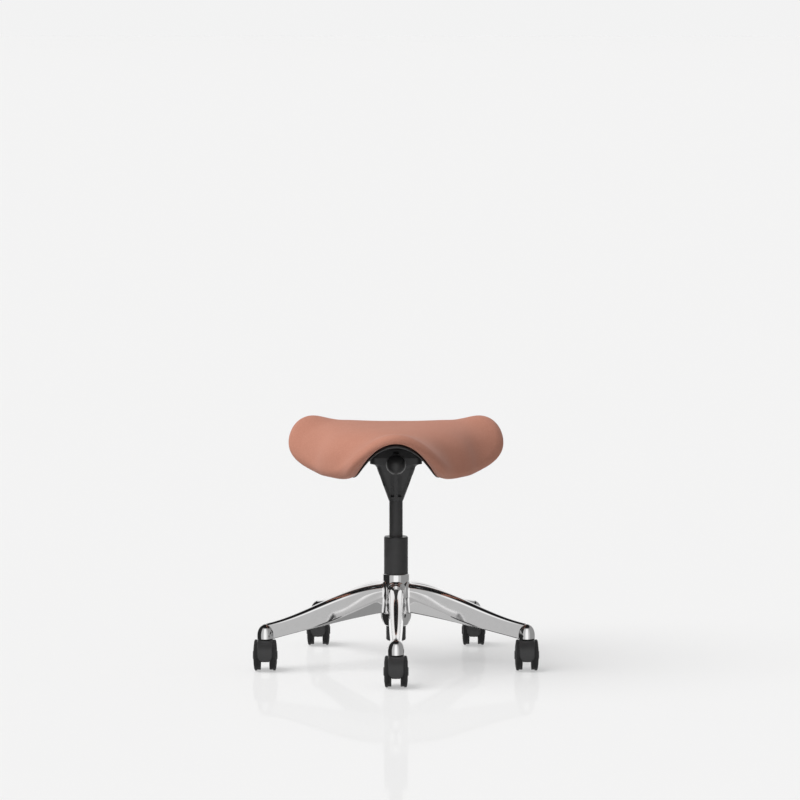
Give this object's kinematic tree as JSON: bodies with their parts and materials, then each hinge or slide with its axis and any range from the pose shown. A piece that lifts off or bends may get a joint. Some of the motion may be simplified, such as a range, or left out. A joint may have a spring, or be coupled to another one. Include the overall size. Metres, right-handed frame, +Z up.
{
  "type": "saddle stool",
  "caption": "Height-adjustable saddle stool with a three-lobed upholstered seat, gas lift, ball-knob lever and a polished star base on twin-wheel casters.",
  "frame": {"origin": "on the floor, on the axis of the column", "axes": "+Z up along the column; -Y towards the nose of the saddle and the height lever"},
  "size_m": [0.593, 0.5808, 0.5075],
  "materials": {
    "polished_aluminium": "polished",
    "dark_steel": "satin",
    "bright_steel": "satin",
    "dark_plastic": "satin",
    "caster_plastic": "satin",
    "seat_cover": "matte"
  },
  "bodies": {
    "base": {"star_base": "polished_aluminium", "outer_tube": "dark_steel", "guide_bush": "dark_plastic", "thrust_bearing": "bright_steel", "caster_1_stem": "bright_steel", "caster_2_stem": "bright_steel", "caster_3_stem": "bright_steel", "caster_4_stem": "bright_steel", "caster_5_stem": "bright_steel"},
    "rod": {"piston_rod": "bright_steel", "piston": "dark_plastic", "retaining_clip": "dark_steel"},
    "seat": {"inner_cylinder": "dark_steel", "rod_guide": "dark_plastic", "seat_support": "dark_plastic", "support_screw_1": "bright_steel", "support_screw_2": "bright_steel", "support_screw_3": "bright_steel", "support_screw_4": "bright_steel", "seat_pan": "dark_plastic", "seat_cushion": "seat_cover", "lever_pin": "bright_steel"},
    "lever": {"lever": "bright_steel", "ball_knob": "dark_plastic"},
    "valve": {"valve_button": "dark_plastic"},
    "caster_1": {"caster_1_hood": "caster_plastic", "caster_1_axle": "bright_steel"},
    "wheel_1_left": {"caster_1_wheel_left": "caster_plastic"},
    "wheel_1_right": {"caster_1_wheel_right": "caster_plastic"},
    "caster_2": {"caster_2_hood": "caster_plastic", "caster_2_axle": "bright_steel"},
    "wheel_2_left": {"caster_2_wheel_left": "caster_plastic"},
    "wheel_2_right": {"caster_2_wheel_right": "caster_plastic"},
    "caster_3": {"caster_3_hood": "caster_plastic", "caster_3_axle": "bright_steel"},
    "wheel_3_left": {"caster_3_wheel_left": "caster_plastic"},
    "wheel_3_right": {"caster_3_wheel_right": "caster_plastic"},
    "caster_4": {"caster_4_hood": "caster_plastic", "caster_4_axle": "bright_steel"},
    "wheel_4_left": {"caster_4_wheel_left": "caster_plastic"},
    "wheel_4_right": {"caster_4_wheel_right": "caster_plastic"},
    "caster_5": {"caster_5_hood": "caster_plastic", "caster_5_axle": "bright_steel"},
    "wheel_5_left": {"caster_5_wheel_left": "caster_plastic"},
    "wheel_5_right": {"caster_5_wheel_right": "caster_plastic"}
  },
  "joints": [
    {"name": "seat_swivel", "type": "hinge", "parent": "base", "child": "rod", "pos_m": [0, 0, 0.05], "axis": [0, 0, 1], "continuous": true},
    {"name": "seat_height", "type": "slide", "parent": "rod", "child": "seat", "axis": [0, 0, 1], "range_m": [-0.066, 0.06]},
    {"name": "height_lever", "type": "hinge", "parent": "seat", "child": "lever", "pos_m": [0, -0.025, 0.408], "axis": [-1, 0, 0], "range_deg": [0, 6.9], "stiffness_Nm_per_rad": 2, "springref_deg": -11.46},
    {"name": "valve_press", "type": "slide", "parent": "seat", "child": "valve", "axis": [0, 0, 1], "range_m": [-0.004, 0]},
    {"name": "caster_1_swivel", "type": "hinge", "parent": "base", "child": "caster_1", "pos_m": [0, -0.285, 0.065], "axis": [0, 0, 1], "continuous": true},
    {"name": "wheel_1_left_spin", "type": "hinge", "parent": "caster_1", "child": "wheel_1_left", "pos_m": [0, -0.291, 0.032], "axis": [1, 0, 0], "continuous": true},
    {"name": "wheel_1_right_spin", "type": "hinge", "parent": "caster_1", "child": "wheel_1_right", "pos_m": [0, -0.291, 0.032], "axis": [1, 0, 0], "continuous": true},
    {"name": "caster_2_swivel", "type": "hinge", "parent": "base", "child": "caster_2", "pos_m": [0.27105, -0.08807, 0.065], "axis": [0, 0, 1], "continuous": true},
    {"name": "wheel_2_left_spin", "type": "hinge", "parent": "caster_2", "child": "wheel_2_left", "pos_m": [0.27105, -0.09407, 0.032], "axis": [1, 0, 0], "continuous": true},
    {"name": "wheel_2_right_spin", "type": "hinge", "parent": "caster_2", "child": "wheel_2_right", "pos_m": [0.27105, -0.09407, 0.032], "axis": [1, 0, 0], "continuous": true},
    {"name": "caster_3_swivel", "type": "hinge", "parent": "base", "child": "caster_3", "pos_m": [0.16752, 0.23057, 0.065], "axis": [0, 0, 1], "continuous": true},
    {"name": "wheel_3_left_spin", "type": "hinge", "parent": "caster_3", "child": "wheel_3_left", "pos_m": [0.16752, 0.22457, 0.032], "axis": [1, 0, 0], "continuous": true},
    {"name": "wheel_3_right_spin", "type": "hinge", "parent": "caster_3", "child": "wheel_3_right", "pos_m": [0.16752, 0.22457, 0.032], "axis": [1, 0, 0], "continuous": true},
    {"name": "caster_4_swivel", "type": "hinge", "parent": "base", "child": "caster_4", "pos_m": [-0.16752, 0.23057, 0.065], "axis": [0, 0, 1], "continuous": true},
    {"name": "wheel_4_left_spin", "type": "hinge", "parent": "caster_4", "child": "wheel_4_left", "pos_m": [-0.16752, 0.22457, 0.032], "axis": [1, 0, 0], "continuous": true},
    {"name": "wheel_4_right_spin", "type": "hinge", "parent": "caster_4", "child": "wheel_4_right", "pos_m": [-0.16752, 0.22457, 0.032], "axis": [1, 0, 0], "continuous": true},
    {"name": "caster_5_swivel", "type": "hinge", "parent": "base", "child": "caster_5", "pos_m": [-0.27105, -0.08807, 0.065], "axis": [0, 0, 1], "continuous": true},
    {"name": "wheel_5_left_spin", "type": "hinge", "parent": "caster_5", "child": "wheel_5_left", "pos_m": [-0.27105, -0.09407, 0.032], "axis": [1, 0, 0], "continuous": true},
    {"name": "wheel_5_right_spin", "type": "hinge", "parent": "caster_5", "child": "wheel_5_right", "pos_m": [-0.27105, -0.09407, 0.032], "axis": [1, 0, 0], "continuous": true}
  ],
  "couplings": [
    {"joint": "valve_press", "follows": "height_lever", "m_per_rad": -0.0315}
  ]
}
